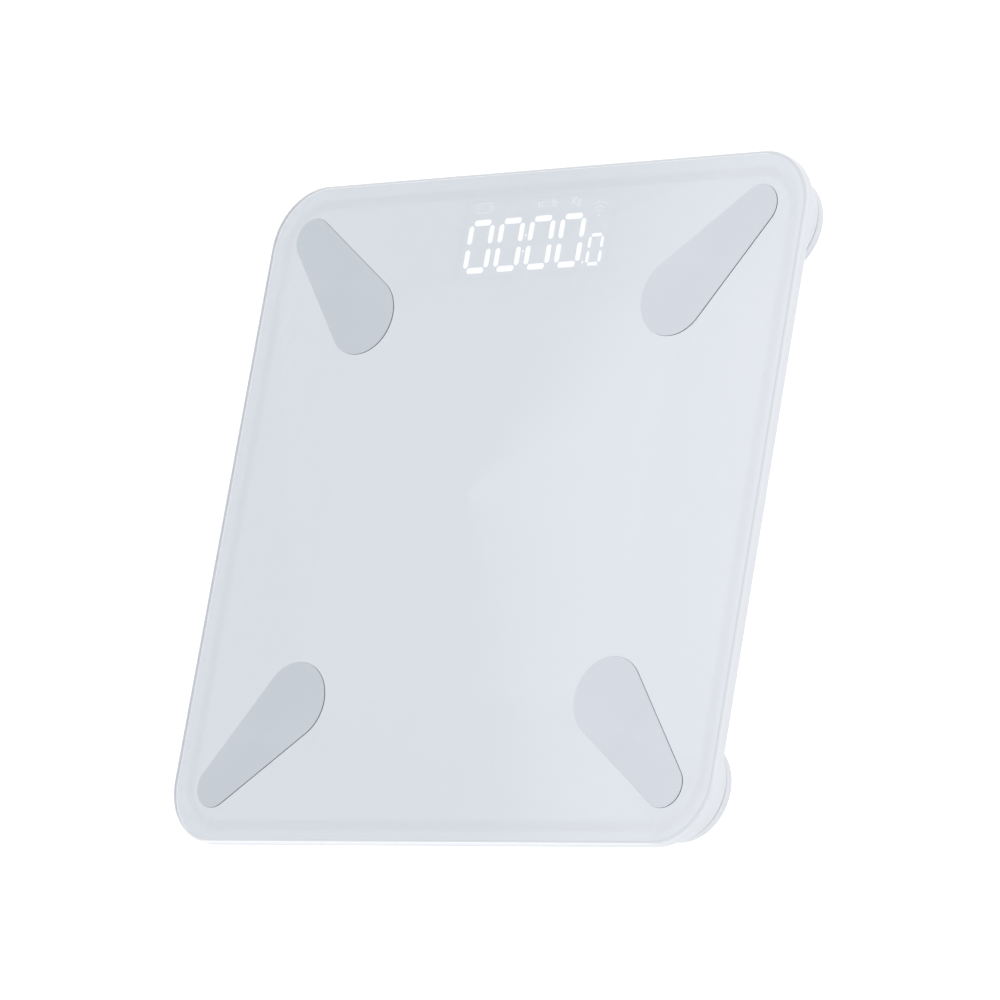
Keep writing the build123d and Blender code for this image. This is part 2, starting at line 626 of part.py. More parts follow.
def load_cell_retainer():
    """C-shaped plastic ring that clamps the frame, open where the leads come out."""
    ring = rod(POD_R - TRAY_WALL - RETAINER_CLEAR, CELL_TOP_Z, RETAINER_TOP_Z)
    ring -= rod(RETAINER_OPENING_R, CELL_TOP_Z - 1, RETAINER_TOP_Z + 1)
    ring -= block(POD_R, RETAINER_GAP, CELL_TOP_Z - 1, RETAINER_TOP_Z + 1, -POD_R / 2 - RETAINER_MOUTH)
    for side in (-1, 1):
        ring -= rod(SCREW_R + SCREW_PASS, CELL_TOP_Z - 1, RETAINER_TOP_Z + 1, 0, side * RETAINER_SCREW_AT)
    return ring


def pan_screw(x, y, seat_z, length):
    """Pan-head screw with a cross recess, head resting at seat_z."""
    head = rod(SCREW_HEAD_R, seat_z, seat_z + SCREW_HEAD_H, x, y)
    top = seat_z + SCREW_HEAD_H
    head = fillet(edges_at(head, top), 0.5)
    screw = head + rod(SCREW_R, seat_z - length, seat_z + EPS, x, y)
    recess_z = top - SCREW_RECESS_DEPTH
    screw -= block(SCREW_RECESS_L, SCREW_RECESS_W, recess_z, top + 1, x, y)
    return screw - block(SCREW_RECESS_W, SCREW_RECESS_L, recess_z, top + 1, x, y)


def retainer_screws():
    length = RETAINER_TOP_Z - FLOOR_Z + SCREW_SPARE
    screws = []
    for corner in CORNERS:
        for side in (-1, 1):
            screw = pan_screw(0, side * RETAINER_SCREW_AT, RETAINER_TOP_Z, length)
            screws.append(foot_place(corner) * screw)
    return group(screws)


# ---- display and board
def bar_segment(length, width, upright):
    """One display segment: a bar with round ends, about its own middle."""
    return Rot(0, 0, 90 if upright else 0) * SlotOverall(length, width)


def seven_segments(width, height, bar):
    """Faces of a seven-segment digit about its middle; the last is the middle bar."""
    across = width - bar
    along = (height - bar) / 2
    flat = bar_segment(across - 2 * FLAT_GAP * bar, bar, False)
    upright = bar_segment(along - 2 * UPRIGHT_GAP * bar, bar, True)
    faces = [Pos(0, side * along, 0) * flat for side in (-1, 1)]
    for side in (-1, 1):
        for level in (-1, 1):
            faces.append(Pos(side * across / 2, level * along / 2, 0) * upright)
    faces.append(flat)
    return faces


def digit_sets():
    """Every digit's segments, set where the digit stands."""
    sets = []
    for index in range(DIGITS):
        x = DIGIT_ROW_X + (index - (DIGITS - 1) / 2) * DIGIT_PITCH
        sets.append([Pos(x, DIGIT_Y, 0) * face for face in seven_segments(DIGIT_W, DIGIT_H, SEGMENT_W)])
    small_y = DIGIT_Y - (DIGIT_H - SMALL_DIGIT_H) / 2
    small = seven_segments(SMALL_DIGIT_W, SMALL_DIGIT_H, SMALL_SEGMENT_W)
    sets.append([Pos(SMALL_DIGIT_X, small_y, 0) * face for face in small])
    return sets


def lens(face):
    return Pos(0, 0, MODULE_TOP_Z) * extrude(face, LENS_T)


def lit_segments():
    """Segments that show zeros, the colon and the point."""
    faces = [face for digit in digit_sets() for face in digit[:-1]]
    for y in (DIGIT_Y + COLON_ABOVE, DIGIT_Y - COLON_BELOW):
        faces.append(Pos(DIGIT_ROW_X, y, 0) * Circle(COLON_R))
    point_y = DIGIT_Y - DIGIT_H / 2 + POINT_UP
    faces.append(Pos(SMALL_DIGIT_X - POINT_BEFORE, point_y, 0) * Circle(POINT_R))
    return group([lens(face) for face in faces])


def unlit_segments():
    """The middle bars, which zeros leave dark."""
    return group([lens(digit[-1]) for digit in digit_sets()])


def icon_lenses():
    """Light cells of the icon row: battery, two unit cells and the wireless sign."""
    cells = [
        Pos(DIGIT_ROW_X - 26.5, ICON_Y, 0) * RectangleRounded(9.0, ICON_CELL_H, 0.6),
        Pos(DIGIT_ROW_X + 8.4, ICON_Y, 0) * RectangleRounded(12.0, ICON_CELL_H, 0.6),
        Pos(DIGIT_ROW_X + 25.2, ICON_Y, 0) * RectangleRounded(6.0, ICON_CELL_H, 0.6),
        Pos(SMALL_DIGIT_X - 1.0, ICON_Y - 3.0, 0) * RectangleRounded(7.4, 8.2, 0.6),
    ]
    return group([lens(cell) for cell in cells])


def display_module():
    """Reflector block that the segment lenses stand on."""
    return slab(MODULE_W, MODULE_D, 1.0, MODULE_Z, MODULE_TOP_Z, MODULE_X, MODULE_Y)


def display_gasket():
    """Foam frame that keeps the light from leaking under the film."""
    frame = slab(MODULE_W, MODULE_D, 1.0, MODULE_TOP_Z, FILM_Z, MODULE_X, MODULE_Y)
    width = MODULE_W - 2 * GASKET_W
    depth = MODULE_D - 2 * GASKET_W
    return frame - slab(width, depth, 0.5, MODULE_TOP_Z - 1, FILM_Z + 1, MODULE_X, MODULE_Y)


def main_board():
    x = (BOARD_X0 + BOARD_X1) / 2
    y = (BOARD_Y0 + BOARD_Y1) / 2
    board = slab(BOARD_X1 - BOARD_X0, BOARD_Y1 - BOARD_Y0, 1.5, BOARD_Z, BOARD_TOP_Z, x, y)
    for hole_x, hole_y in board_screw_places():
        board -= rod(SCREW_R + SCREW_PASS, BOARD_Z - 1, BOARD_TOP_Z + 1, hole_x, hole_y)
    return board


def board_chips():
    """Controller, measuring amplifier, display driver, crystal and capacitors."""
    y = BOARD_Y0 + 11.0
    z = BOARD_TOP_Z
    chips = [
        slab(9.0, 7.0, 0.4, z, z + 1.2, -4.0, y),
        slab(6.0, 5.0, 0.3, z, z + 1.4, -18.0, y),
        slab(7.5, 5.4, 0.3, z, z + 1.4, 10.0, y),
        slab(5.0, 2.4, 1.1, z, z + 1.8, 22.0, y + 1.5),
    ]
    for x in (-27.0, -24.0, 16.5, 28.0, 30.5):
        chips.append(block(1.0, 1.8, z, z + 0.8, x, y))
    return group(chips)


def radio_module():
    """Small radio board with its shield can."""
    x = MODULE_X1 + BOARD_RIGHT / 2 + 0.5
    y = MODULE_Y
    base = block(11.0, 17.0, BOARD_TOP_Z, BOARD_TOP_Z + 0.8, x, y)
    return base + slab(9.0, 11.0, 0.6, BOARD_TOP_Z + 0.8 - EPS, BOARD_TOP_Z + 2.2, x, y - 2.0)


def board_screws():
    length = BOARD_TOP_Z - FLOOR_Z + SCREW_SPARE
    return group([pan_screw(x, y, BOARD_TOP_Z, length) for x, y in board_screw_places()])


def unit_button():
    """Push button for changing units, let into the tray's underside."""
    cap = rod(BUTTON_R, TRAY_Z + BUTTON_RECESS, FLOOR_Z + EPS, BUTTON_X, BUTTON_Y)
    cap = fillet(edges_at(cap, TRAY_Z + BUTTON_RECESS), 0.4)
    cap += rod(BUTTON_FLANGE_R, FLOOR_Z, FLOOR_Z + BUTTON_FLANGE_T, BUTTON_X, BUTTON_Y)
    dish_z = TRAY_Z + BUTTON_RECESS + BUTTON_DISH_DEPTH - BUTTON_DISH_R
    dimple = Pos(BUTTON_X, BUTTON_Y, dish_z) * Sphere(BUTTON_DISH_R)
    return cap - dimple


def unit_switch():
    """Tactile switch under the board."""
    body = slab(SWITCH_W, SWITCH_W, 0.4, BOARD_Z - SWITCH_H, BOARD_Z, BUTTON_X, BUTTON_Y)
    bore_top = BOARD_Z - SWITCH_H + PLUNGER_BORE
    return body - rod(PLUNGER_R + PLUNGER_FIT, BOARD_Z - SWITCH_H - 1, bore_top, BUTTON_X, BUTTON_Y)


def unit_plunger():
    z0 = FLOOR_Z + BUTTON_FLANGE_T
    z1 = BOARD_Z - SWITCH_H + PLUNGER_BORE - PLUNGER_TRAVEL - PLUNGER_SPARE
    return rod(PLUNGER_R, z0, z1, BUTTON_X, BUTTON_Y)


# ---- batteries and door
def battery_x(index):
    return (index - (BATTERY_COUNT - 1) / 2) * BATTERY_PITCH


def battery_end(index):
    """+1 if the cell's button faces the hinge end, -1 if it faces the latch end."""
    return 1 if index % 2 == 0 else -1


def battery_cell(index):
    """AAA cell lying along Y: can, crimped shoulder and button."""
    can_l = BATTERY_LEN - BATTERY_NUB_L
    can = Cylinder(BATTERY_R, can_l)
    can = fillet(can.edges().filter_by(GeomType.CIRCLE), 0.5)
    can += Pos(0, 0, can_l / 2 + BATTERY_NUB_L / 2 - EPS) * Cylinder(BATTERY_NUB_R, BATTERY_NUB_L + EPS)
    end = battery_end(index)
    button_face = BAY_REAR - CONTACT_T if end > 0 else BAY_FRONT + CONTACT_T
    y = button_face - end * (BATTERY_LEN - can_l / 2)
    return Pos(battery_x(index), y, BATTERY_Z) * Rot(-90 * end, 0, 0) * can


def lug_places():
    """Ends of the battery chain, where the contacts pass through the bay wall."""
    return [(-battery_end(0), battery_x(0)),
            (battery_end(BATTERY_COUNT - 1), battery_x(BATTERY_COUNT - 1))]


def battery_contacts():
    """Nickelled plates at both ends of the bay: two bridges and two ends with solder lugs."""
    plates = []
    z0 = BATTERY_Z - CONTACT_H / 2
    z1 = BATTERY_Z + CONTACT_H / 2
    single = BATTERY_PITCH - 2 * CONTACT_SIDE
    double = 2 * BATTERY_PITCH - 2 * CONTACT_SIDE
    front_y = BAY_FRONT + CONTACT_T / 2
    rear_y = BAY_REAR - CONTACT_T / 2
    plates.append(block(double, CONTACT_T, z0, z1, BATTERY_PITCH / 2, front_y))
    plates.append(block(double, CONTACT_T, z0, z1, -BATTERY_PITCH / 2, rear_y))
    for side, x in lug_places():
        y = front_y if side < 0 else rear_y
        plate = block(single, CONTACT_T, z0, z1, x, y)
        lug_l = BAY_WALL + LUG_OUT
        plate += block(LUG_W, lug_l, LUG_Z - CONTACT_T / 2, LUG_Z + CONTACT_T / 2, x, y + side * lug_l / 2)
        plates.append(plate)
    return group(plates)


def battery_springs():
    """Conical coils that press on the flat end of each cell."""
    height = SPRING_ROOM - 2 * SPRING_WIRE_R - 0.1
    lean = degrees(atan2(SPRING_BASE_R - SPRING_TIP_R, height))
    coil = Helix(height / SPRING_TURNS, height, SPRING_BASE_R, cone_angle=-lean)
    wire = Plane(origin=coil @ 0, z_dir=coil % 0) * Circle(SPRING_WIRE_R)
    spring = sweep(wire, path=coil, is_frenet=True)
    springs = []
    for index in range(BATTERY_COUNT):
        end = battery_end(index)
        plate_face = BAY_FRONT + CONTACT_T if end > 0 else BAY_REAR - CONTACT_T
        y = plate_face + end * (SPRING_WIRE_R + 0.05)
        springs.append(Pos(battery_x(index), y, BATTERY_Z) * Rot(-90 * end, 0, 0) * spring)
    return group(springs)


def hook_places():
    return [-BATTERY_PITCH / 2, BATTERY_PITCH / 2]


def battery_door():
    """Flush cover with two hooks at one end and a thumb latch at the other."""
    width = BAY_W + 2 * DOOR_LIP
    y1 = HINGE_Y - DOOR_HINGE_CLEAR
    plate = slab(width, y1 - DOOR_FRONT, DOOR_CORNER_R, DOOR_Z, DOOR_TOP_Z, 0, (y1 + DOOR_FRONT) / 2)
    hook_l = HOOK_REACH + HOOK_NECK
    for x in hook_places():
        neck = block(HOOK_W, HOOK_NECK, DOOR_TOP_Z - EPS, HOOK_Z + HOOK_T, x, y1 - HOOK_NECK / 2)
        hook = block(HOOK_W, hook_l, HOOK_Z, HOOK_Z + HOOK_T, x, y1 - HOOK_NECK + hook_l / 2)
        plate += neck + hook
    for side in (-1, 1):
        slit_x = side * (LATCH_W + LATCH_SLIT) / 2
        plate -= block(LATCH_SLIT, LATCH_L, DOOR_Z - 1, DOOR_TOP_Z + 1, slit_x, DOOR_FRONT + LATCH_L / 2 - EPS)
    for step in range(3):
        y = DOOR_FRONT + GRIP_PITCH * (step + 1)
        plate -= block(LATCH_W - 4.0, GRIP_W, DOOR_Z - 1, DOOR_Z + GRIP_DEPTH, 0, y)
    nose = block(LATCH_W - 3 * LATCH_SLIT, LATCH_NOSE_T, DOOR_TOP_Z - EPS, DOOR_TOP_Z + LATCH_NOSE_H, 0,
                 DOOR_FRONT + LATCH_NOSE_AT)
    return plate + nose


def door_foam():
    """Soft strip that stops the cells from rattling."""
    return block(BAY_W - 6.0, 8.0, DOOR_TOP_Z, DOOR_TOP_Z + DOOR_FOAM_T, 0, BAY_Y)


# ---- leads
def lead(points):
    """Insulated wire along straight runs joined by bends as large as the runs allow."""
    spots = [Vector(*point) for point in points]
    radii = []
    for before, here, after in zip(spots, spots[1:], spots[2:]):
        first = here - before
        second = after - here
        turn = radians(first.get_angle(second))
        fit = 0.42 * min(first.length, second.length) / tan(turn / 2)
        radii.append(min(fit, LEAD_BEND))
    path = FilletPolyline(*spots, radius=radii)
    start = Plane(origin=path @ 0, z_dir=path % 0)
    return sweep(start * Circle(LEAD_R), path=path)


def load_lead_lane():
    """Distance from the middle line of the lane that the load-cell leads run in."""
    return FOOT_X - 36.0 / sqrt(2)


def electrode_lead_lane():
    return HALF_W - ELECTRODE_BIG_INSET - 24.0


def load_cell_leads(corner):
    """Three leads from one load cell to the board."""
    sx, sy = CORNERS[corner]
    inward = Vector(-sx / sqrt(2), -sy / sqrt(2), 0)
    foot = Vector(sx * FOOT_X, sy * FOOT_Y, 0)
    aside = Vector(sy / sqrt(2), -sx / sqrt(2), 0) * LEAD_PITCH
    up = Vector(0, 0, 1)
    gauge_z = CELL_TOP_Z + GAUGE_T + LEAD_R + SOLDER_GAP
    base = [
        foot + inward * 8.0 + up * gauge_z,
        foot + inward * 22.0 + up * gauge_z,
        foot + inward * 36.0 + up * LEAD_Z,
    ]
    if sy < 0:
        land_x = sx * 30.0
        base += [
            Vector(sx * load_lead_lane(), LEAD_TURN_Y, LEAD_Z),
            Vector(land_x + sx * 8.0, BOARD_Y0 - 14.0, LEAD_Z),
            Vector(land_x, BOARD_Y0 - LEAD_LAND, LEAD_BOARD_Z),
            Vector(land_x, BOARD_Y0 + LEAD_LAND, LEAD_BOARD_Z),
        ]
    else:
        edge = BOARD_X1 if sx > 0 else BOARD_X0
        land_y = BOARD_Y0 + 20.0
        base += [
            Vector(edge + sx * 14.0, land_y, LEAD_Z),
            Vector(edge + sx * LEAD_LAND, land_y, LEAD_BOARD_Z),
            Vector(edge - sx * LEAD_LAND, land_y, LEAD_BOARD_Z),
        ]
    return group([lead([point + aside * step for point in base]) for step in (-1, 0, 1)])


def electrode_leads():
    """One lead from each electrode's tag to the board."""
    tag_z = FILM_Z - TAG_T - LEAD_R - SOLDER_GAP
    wires = []
    for corner, (sx, sy) in CORNERS.items():
        x = sx * (HALF_W - ELECTRODE_BIG_INSET)
        y = sy * (HALF_D - ELECTRODE_BIG_INSET)
        if sy < 0:
            lane = sx * electrode_lead_lane()
            land_x = sx * 22.0
            route = [
                (x - sx * 5.0, y, tag_z),
                (x - sx * 12.0, y, tag_z),
                (lane, y + 4.0, LEAD_Z),
                (lane, BOARD_Y0 - 34.0, LEAD_Z),
                (land_x + sx * 4.0, BOARD_Y0 - 14.0, LEAD_Z),
                (land_x, BOARD_Y0 - LEAD_LAND, LEAD_BOARD_Z),
                (land_x, BOARD_Y0 + LEAD_LAND, LEAD_BOARD_Z),
            ]
        else:
            edge = BOARD_X1 if sx > 0 else BOARD_X0
            land_y = BOARD_Y0 + 11.0
            route = [
                (x - sx * 5.0, y, tag_z),
                (x - sx * 12.0, y, tag_z),
                (edge + sx * LEAD_LAND, land_y, LEAD_BOARD_Z),
                (edge - sx * LEAD_LAND, land_y, LEAD_BOARD_Z),
            ]
        wires.append(lead(route))
    return group(wires)


def battery_leads():
    """Two leads from the bay's solder lugs to the board."""
    lug_top = LUG_Z + CONTACT_T / 2 + LEAD_R + SOLDER_GAP
    front_y = BAY_FRONT - BAY_WALL - 1.4
    rear_y = BAY_REAR + BAY_WALL + 1.2
    side_x = -(BAY_W / 2 + DOOR_LIP + DOOR_BEZEL + 3.0)
    x0 = lug_places()[0][1]
    x1 = lug_places()[1][1]
    negative = [
        (x0 + 1.0, front_y, lug_top),
        (x0 - 4.0, front_y, lug_top),
        (side_x, front_y + 1.0, LEAD_Z),
        (side_x, BAY_REAR + BAY_WALL + 3.0, LEAD_Z),
        (-7.0, BOARD_Y0 - 16.0, LEAD_Z),
        (-6.0, BOARD_Y0 - LEAD_LAND, LEAD_BOARD_Z),
        (-6.0, BOARD_Y0 + LEAD_LAND, LEAD_BOARD_Z),
    ]
    positive = [
        (x1, rear_y, lug_top),
        (x1, rear_y + 5.0, lug_top),
        (7.0, BOARD_Y0 - 16.0, LEAD_Z),
        (6.0, BOARD_Y0 - LEAD_LAND, LEAD_BOARD_Z),
        (6.0, BOARD_Y0 + LEAD_LAND, LEAD_BOARD_Z),
    ]
    return group([lead(negative), lead(positive)])


# ---- all nodes
def nodes():
    parts = {
        "glass_platform": glass_platform(),
        "backing_film": backing_film(),
        "platform_tape": platform_tape(),
        "electrode_tags": electrode_tags(),
        "electrode_nuts": electrode_nuts(),
        "base_tray": base_tray(),
        "blank_label": blank_label(),
        "retainer_screws": retainer_screws(),
        "display_module": display_module(),
        "display_segments_lit": lit_segments(),
        "display_segments_off": unlit_segments(),
        "display_icon_cells": icon_lenses(),
        "display_gasket": display_gasket(),
        "main_board": main_board(),
        "board_chips": board_chips(),
        "radio_module": radio_module(),
        "board_screws": board_screws(),
        "unit_button": unit_button(),
        "unit_switch": unit_switch(),
        "unit_switch_plunger": unit_plunger(),
        "battery_contacts": battery_contacts(),
        "battery_springs": battery_springs(),
        "battery_door": battery_door(),
        "battery_door_foam": door_foam(),
        "electrode_leads": electrode_leads(),
        "battery_leads": battery_leads(),
    }
    for index in range(BATTERY_COUNT):
        parts[f"battery_cell_{index + 1}"] = battery_cell(index)
    for corner in CORNERS:
        parts[f"electrode_{corner}"] = electrode(corner)
        parts[f"foot_cup_{corner}"] = foot_place(corner) * foot_cup()
        parts[f"foot_pad_{corner}"] = foot_place(corner) * foot_pad()
        parts[f"load_cell_plate_{corner}"] = foot_place(corner) * load_cell_plate()
        parts[f"load_cell_retainer_{corner}"] = foot_place(corner) * load_cell_retainer()
        parts[f"load_cell_leads_{corner}"] = load_cell_leads(corner)
    gauges = [foot_place(corner) * strain_gauge() for corner in CORNERS]
    parts["strain_gauges"] = group(gauges)
    return parts


os.makedirs("parts", exist_ok=True)
for name, shape in nodes().items():
    export_step(shape, f"parts/{name}.step")
    print(name, round(shape.volume, 1))
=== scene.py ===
# %% [markdown]
# # A glass bathroom scale
# The scale arrives as a fixed frame of named parts: glass, printed film, steel electrodes, tray,
# feet and everything sealed inside.  None of them is moved or reshaped here.  The lesson gives each
# one its finish, adds the light that shines through the print, and sets up the studio round it.

# %% Load the parts
import bpy
import bmesh
from math import cos, pi, radians, sin
from mathutils import Matrix, Vector


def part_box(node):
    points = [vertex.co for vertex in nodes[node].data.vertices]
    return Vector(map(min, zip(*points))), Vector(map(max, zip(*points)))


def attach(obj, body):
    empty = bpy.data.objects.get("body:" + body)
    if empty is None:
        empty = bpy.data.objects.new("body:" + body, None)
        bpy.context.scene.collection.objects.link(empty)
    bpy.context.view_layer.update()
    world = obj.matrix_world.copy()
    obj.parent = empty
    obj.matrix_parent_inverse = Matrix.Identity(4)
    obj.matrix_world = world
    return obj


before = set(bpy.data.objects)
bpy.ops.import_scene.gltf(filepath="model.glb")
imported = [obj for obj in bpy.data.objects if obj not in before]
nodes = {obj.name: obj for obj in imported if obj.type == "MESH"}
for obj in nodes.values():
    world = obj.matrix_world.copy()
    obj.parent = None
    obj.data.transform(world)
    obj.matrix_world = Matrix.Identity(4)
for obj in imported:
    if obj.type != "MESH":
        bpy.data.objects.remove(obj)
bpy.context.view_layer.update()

# %% [markdown]
# ## Units and landmarks
# Blender works in metres, and a scale is easier to think of in millimetres, so one helper turns
# millimetres into metres.  The landmarks are read from the parts themselves: the top of the
# glass, its underside where the print lies, and the width of the platform.

# %% Landmarks
MM = 0.001
glass_low, glass_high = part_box("glass_platform")
print_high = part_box("backing_film")[1]
platform_width = glass_high.x - glass_low.x
print("platform", round(platform_width / MM, 1), "mm wide")
print("glass from", glass_low.z / MM, "to", glass_high.z / MM, "mm")
print("top of the print", print_high.z / MM, "mm")

# %% [markdown]
# ## Camera
# A long lens from far away keeps the square platform nearly free of perspective, as a catalogue
# picture does.  The camera is placed by the two angles that are set on a stand, and
# then rolled about its own line of sight, so that the scale seems to stand on one corner.

# %% Camera on its stand
STAND_AZIMUTH = radians(69.69)
STAND_ELEVATION = radians(46.45)
CAMERA_ROLL = radians(65.2)
CAMERA_DISTANCE = 2.748
LENS_MM = 233.2
SENSOR_MM = 36.0
VIEW_DEPTH = 50.0
look_at = Vector((10.1 * MM, 0.3 * MM, glass_high.z))


def set_camera():
    """Camera at a distance along the stand's two angles, turned about its sight line."""
    level = cos(STAND_ELEVATION)
    outward = Vector((sin(STAND_AZIMUTH) * level, -cos(STAND_AZIMUTH) * level, sin(STAND_ELEVATION)))
    upright = (-outward).to_track_quat("-Z", "Y")
    data = bpy.data.cameras.new("studio_camera")
    data.lens = LENS_MM
    data.sensor_width = SENSOR_MM
    data.clip_end = VIEW_DEPTH
    camera = bpy.data.objects.new("studio_camera", data)
    bpy.context.scene.collection.objects.link(camera)
    turn = upright.to_matrix().to_4x4() @ Matrix.Rotation(-CAMERA_ROLL, 4, "Z")
    camera.matrix_world = Matrix.Translation(look_at + outward * CAMERA_DISTANCE) @ turn
    return camera


camera = set_camera()
bpy.context.scene.camera = camera
print("camera at", tuple(round(v, 3) for v in camera.location))

# %% [markdown]
# ## Node helpers
# Every finish below is one Principled shader with a few texture nodes in front of it.  Small helpers
# keep the finishes short: they start a material, add a node with its values, make noise in the
# part's own metres, and turn it into a tint, a gloss or a slight bump.

# %% Node helpers
def new_finish(name, colour, roughness, metallic=0.0):
    """A material with one Principled shader; returns the material, its nodes' tree and the shader."""
    finish = bpy.data.materials.new(name)
    finish.use_nodes = True
    tree = finish.node_tree
    shader = tree.nodes["Principled BSDF"]
    shader.inputs["Base Color"].default_value = (*colour, 1.0)
    shader.inputs["Roughness"].default_value = roughness
    shader.inputs["Metallic"].default_value = metallic
    return finish, tree, shader


def add_node(tree, kind, **values):
    """A node of that kind; each value is a property if the node has one by that name, or an input."""
    node = tree.nodes.new("ShaderNode" + kind)
    for name, value in values.items():
        if hasattr(node, name):
            setattr(node, name, value)
        else:
            node.inputs[name.replace("_", " ").title()].default_value = value
    return node


def place_of(tree):
    """Coordinates in metres in the part's own frame."""
    return add_node(tree, "TexCoord").outputs["Object"]


def stretched(tree, scale):
    """The part's coordinates with each axis scaled, for streaks and grain."""
    mapping = add_node(tree, "Mapping")
    mapping.inputs["Scale"].default_value = scale
    tree.links.new(place_of(tree), mapping.inputs["Vector"])
    return mapping.outputs["Vector"]


def noise(tree, scale, detail=3.0, vector=None):
    """Noise with that many cells to the metre."""
    node = add_node(tree, "TexNoise", scale=scale, detail=detail)
    tree.links.new(vector or place_of(tree), node.inputs["Vector"])
    return node.outputs["Fac"]


def spread(tree, factor, low, high):
    """A 0 to 1 texture turned into values from low to high."""
    node = add_node(tree, "MapRange")
    node.inputs["To Min"].default_value = low
    node.inputs["To Max"].default_value = high
    tree.links.new(factor, node.inputs["Value"])
    return node.outputs["Result"]


def tint(tree, shader, factor, dark, light):
    """Base colour that wanders between two tints."""
    ramp = add_node(tree, "ValToRGB")
    ramp.color_ramp.elements[0].color = (*dark, 1.0)
    ramp.color_ramp.elements[1].color = (*light, 1.0)
    tree.links.new(factor, ramp.inputs["Fac"])
    tree.links.new(ramp.outputs["Color"], shader.inputs["Base Color"])
    return ramp


def bump(tree, shader, factor, depth):
    """Relief of that depth in metres."""
    node = add_node(tree, "Bump")
    node.inputs["Strength"].default_value = 1.0
    node.inputs["Distance"].default_value = depth
    tree.links.new(factor, node.inputs["Height"])
    tree.links.new(node.outputs["Normal"], shader.inputs["Normal"])
    return node


def wear(finish, *names):
    """Gives parts this finish."""
    for name in names:
        part = nodes[name]
        part.data.materials.clear()
        part.data.materials.append(finish)
    print(finish.name, "on", len(names), "parts")


def named(start):
    """Names of all parts that begin with these words."""
    return sorted(name for name in nodes if name.startswith(start))


# %% [markdown]
# ## Glass
# The platform is toughened float glass.  Here it is nearly colourless, with a breath of blue, and has
# the faint roller waves that tempering leaves.  Lamps shine straight through to the print.  That is a
# shortcut and not how glass bends light: without it, a path tracer finds the lamps behind glass only
# by luck and the print turns grainy.

# %% Clear glass
def let_light_in(tree, shader):
    """Light on its way to the print passes this surface straight."""
    clear = add_node(tree, "BsdfTransparent")
    rays = add_node(tree, "LightPath")
    either = add_node(tree, "Math", operation="MAXIMUM")
    mix = add_node(tree, "MixShader")
    tree.links.new(rays.outputs["Is Shadow Ray"], either.inputs[0])
    tree.links.new(rays.outputs["Is Diffuse Ray"], either.inputs[1])
    tree.links.new(either.outputs[0], mix.inputs["Fac"])
    tree.links.new(shader.outputs[0], mix.inputs[1])
    tree.links.new(clear.outputs[0], mix.inputs[2])
    tree.links.new(mix.outputs[0], tree.nodes["Material Output"].inputs["Surface"])


def glass_finish():
    """Polished faces of the sheet."""
    finish, tree, shader = new_finish("clear_glass", (0.985, 0.995, 1.0), 0.0)
    shader.inputs["Transmission Weight"].default_value = 1.0
    shader.inputs["IOR"].default_value = 1.5
    bump(tree, shader, noise(tree, 18.0, 0.0), 4e-6)
    let_light_in(tree, shader)
    return finish


wear(glass_finish(), "glass_platform")

# %% [markdown]
# ## Ground edge
# The rim of such a sheet is ground and only half polished.  Ground glass is pale, because its tiny pits
# scatter the light.  The faces of the sheet that don't lie flat are sorted by how much they lean: the
# rounds are glossy, and the upright band between them is matt.  Both let light pass to the print, as
# the flat faces do, so that the rim doesn't shade it.  A real ground rim would shade it a little.

# %% Ground edge of the glass
CORNER_RADIUS = 27.5 * MM
ROUND_SIZE = 1.5 * MM
BEGIN_SHARE = 0.3             # part of the round that is greyer
FLAT_LEAN = 0.9995            # upward share of a face's normal, flat above this
ROUND_LEAN = 0.12             # and upright below this
FLAT_SLOT, ROUND_SLOT, UPRIGHT_SLOT = 0, 1, 2


def rim_reach(tree):
    """Distance from the ring of corner centres: the same all along a line beside the rim."""
    split = add_node(tree, "SeparateXYZ")
    tree.links.new(place_of(tree), split.inputs[0])
    join = add_node(tree, "CombineXYZ")
    for axis, half in (("X", glass_high.x), ("Y", glass_high.y)):
        size = add_node(tree, "Math", operation="ABSOLUTE")
        tree.links.new(split.outputs[axis], size.inputs[0])
        beyond = add_node(tree, "Math", operation="SUBTRACT")
        beyond.inputs[1].default_value = half - CORNER_RADIUS
        tree.links.new(size.outputs[0], beyond.inputs[0])
        kept = add_node(tree, "Math", operation="MAXIMUM")
        kept.inputs[1].default_value = 0.0
        tree.links.new(beyond.outputs[0], kept.inputs[0])
        tree.links.new(kept.outputs[0], join.inputs[axis])
    length = add_node(tree, "VectorMath", operation="LENGTH")
    tree.links.new(join.outputs[0], length.inputs[0])
    return length.outputs["Value"]


def across(tree, value, start, end, low=0.0, high=1.0):
    """A measured value turned into low at its start and high at its end."""
    node = add_node(tree, "MapRange")
    node.inputs["From Min"].default_value = start
    node.inputs["From Max"].default_value = end
    node.inputs["To Min"].default_value = low
    node.inputs["To Max"].default_value = high
    tree.links.new(value, node.inputs["Value"])
    return node.outputs["Result"]


def round_edge_finish():
    """Half-polished pencil round, darker in a thin band where the round begins, with a wet gloss."""
    finish, tree, shader = new_finish("ground_round", EDGE_ROUND, 0.30)
    grain = noise(tree, 5200.0, 3.0)
    bump(tree, shader, grain, 3e-6)
    begin = CORNER_RADIUS - ROUND_SIZE
    share = across(tree, rim_reach(tree), begin, begin + BEGIN_SHARE * ROUND_SIZE)
    tint(tree, shader, share, EDGE_BEGIN, EDGE_ROUND)
    tree.links.new(spread(tree, grain, 0.24, 0.36), shader.inputs["Roughness"])
    shader.inputs["Coat Weight"].default_value = 1.0
    shader.inputs["Coat Roughness"].default_value = 0.05
    let_light_in(tree, shader)
    return finish


